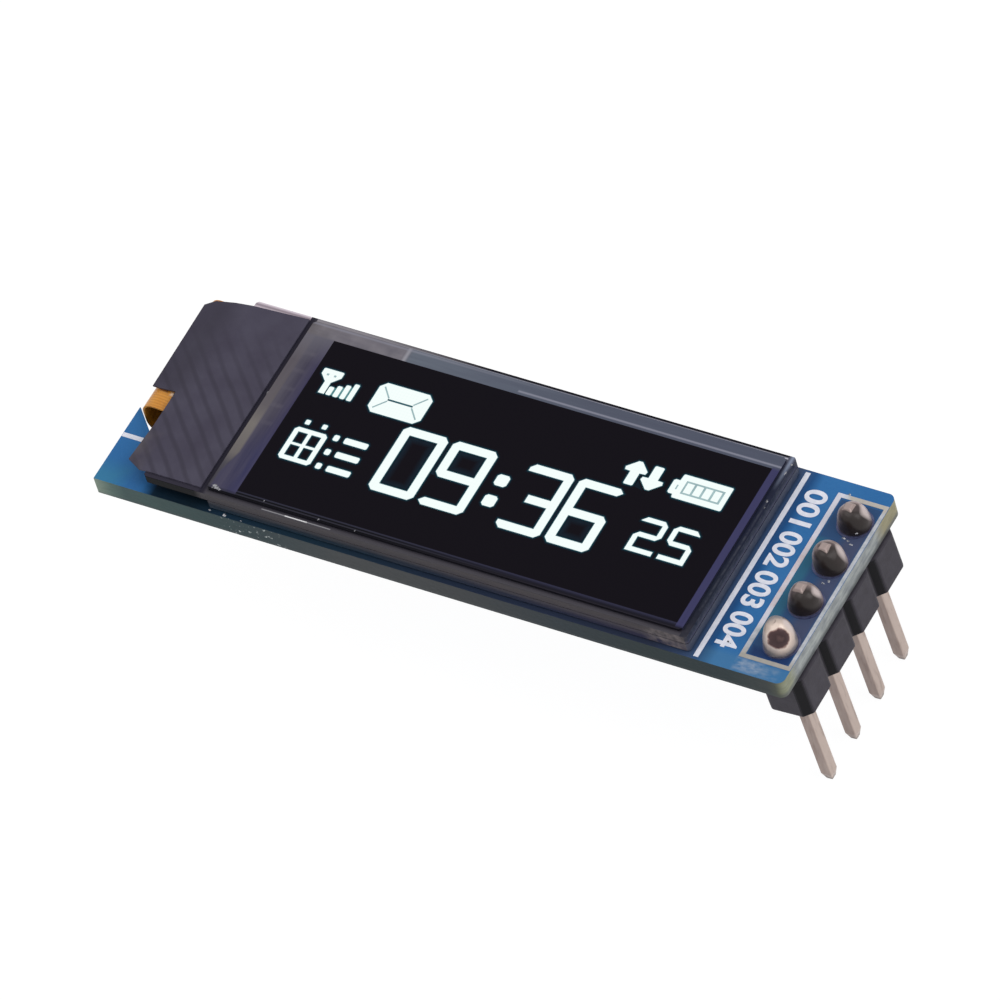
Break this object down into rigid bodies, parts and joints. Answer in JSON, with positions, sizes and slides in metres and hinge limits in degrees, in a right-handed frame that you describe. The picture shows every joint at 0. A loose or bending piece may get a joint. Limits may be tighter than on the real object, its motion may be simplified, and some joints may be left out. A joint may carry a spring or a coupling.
{
  "type": "small oled module",
  "caption": "Small OLED display module: a glass panel on a narrow blue circuit board, with a folded ribbon at one end and a row of square header pins under the other.",
  "frame": {"origin": "middle of the pin row, on the underside of the header housing", "axes": "+X along the board towards its header end, +Y along the pin row, +Z out of the display; the pins point down, 4 degrees off -Z towards +X"},
  "size_m": [0.0384, 0.012, 0.0117],
  "materials": {
    "board_laminate": "blue solder mask on glass-fibre laminate",
    "tape_foam": "double-sided tape",
    "rear_glass": "etched clear glass, dark behind",
    "desiccant": "matt white sheet",
    "seal_resin": "cured clear resin",
    "pixel_film": "dark film with lit pixels",
    "front_glass": "clear polished glass",
    "polarizer_film": "neutral grey polished film",
    "silicon": "bare polished silicon",
    "polyimide": "amber polyimide film over copper",
    "solder": "bright reflowed solder",
    "hand_solder": "hand-soldered bead, part dulled by flux",
    "cover_film": "black tape with fine slanted ribs",
    "header_plastic": "moulded black thermoplastic",
    "pin_metal": "tin-plated brass",
    "plated_copper": "plated copper",
    "moulding_compound": "black moulding compound",
    "lead_metal": "tin-plated lead frame",
    "capacitor_ceramic": "tan ceramic with tinned ends",
    "resistor_ceramic": "black coat on white ceramic with tinned ends"
  },
  "bodies": {
    "root": {"board": "board_laminate", "mounting_tape": "tape_foam", "rear_glass": "rear_glass", "desiccant_sheet": "desiccant", "seal_ring": "seal_resin", "pixel_layer": "pixel_film", "front_glass": "front_glass", "polarizer": "polarizer_film", "driver_chip": "silicon", "ribbon": "polyimide", "ribbon_solder": "solder", "cover_tape": "cover_film", "header_housing": "header_plastic", "header_pin_1": "pin_metal", "header_pin_2": "pin_metal", "header_pin_3": "pin_metal", "header_pin_4": "pin_metal", "plated_hole_1": "plated_copper", "plated_hole_2": "plated_copper", "plated_hole_3": "plated_copper", "plated_hole_4": "plated_copper", "solder_joint_1": "hand_solder", "solder_joint_2": "hand_solder", "solder_joint_3": "hand_solder", "solder_joint_4": "hand_solder", "regulator_body": "moulding_compound", "regulator_lead_1": "lead_metal", "regulator_lead_2": "lead_metal", "regulator_lead_3": "lead_metal", "capacitor_1": "capacitor_ceramic", "capacitor_2": "capacitor_ceramic", "capacitor_3": "capacitor_ceramic", "capacitor_4": "capacitor_ceramic", "capacitor_5": "capacitor_ceramic", "capacitor_6": "capacitor_ceramic", "capacitor_7": "capacitor_ceramic", "resistor_1": "resistor_ceramic", "resistor_2": "resistor_ceramic", "resistor_3": "resistor_ceramic", "resistor_4": "resistor_ceramic", "resistor_5": "resistor_ceramic", "chip_solder": "solder", "regulator_solder": "solder"}
  },
  "joints": []
}
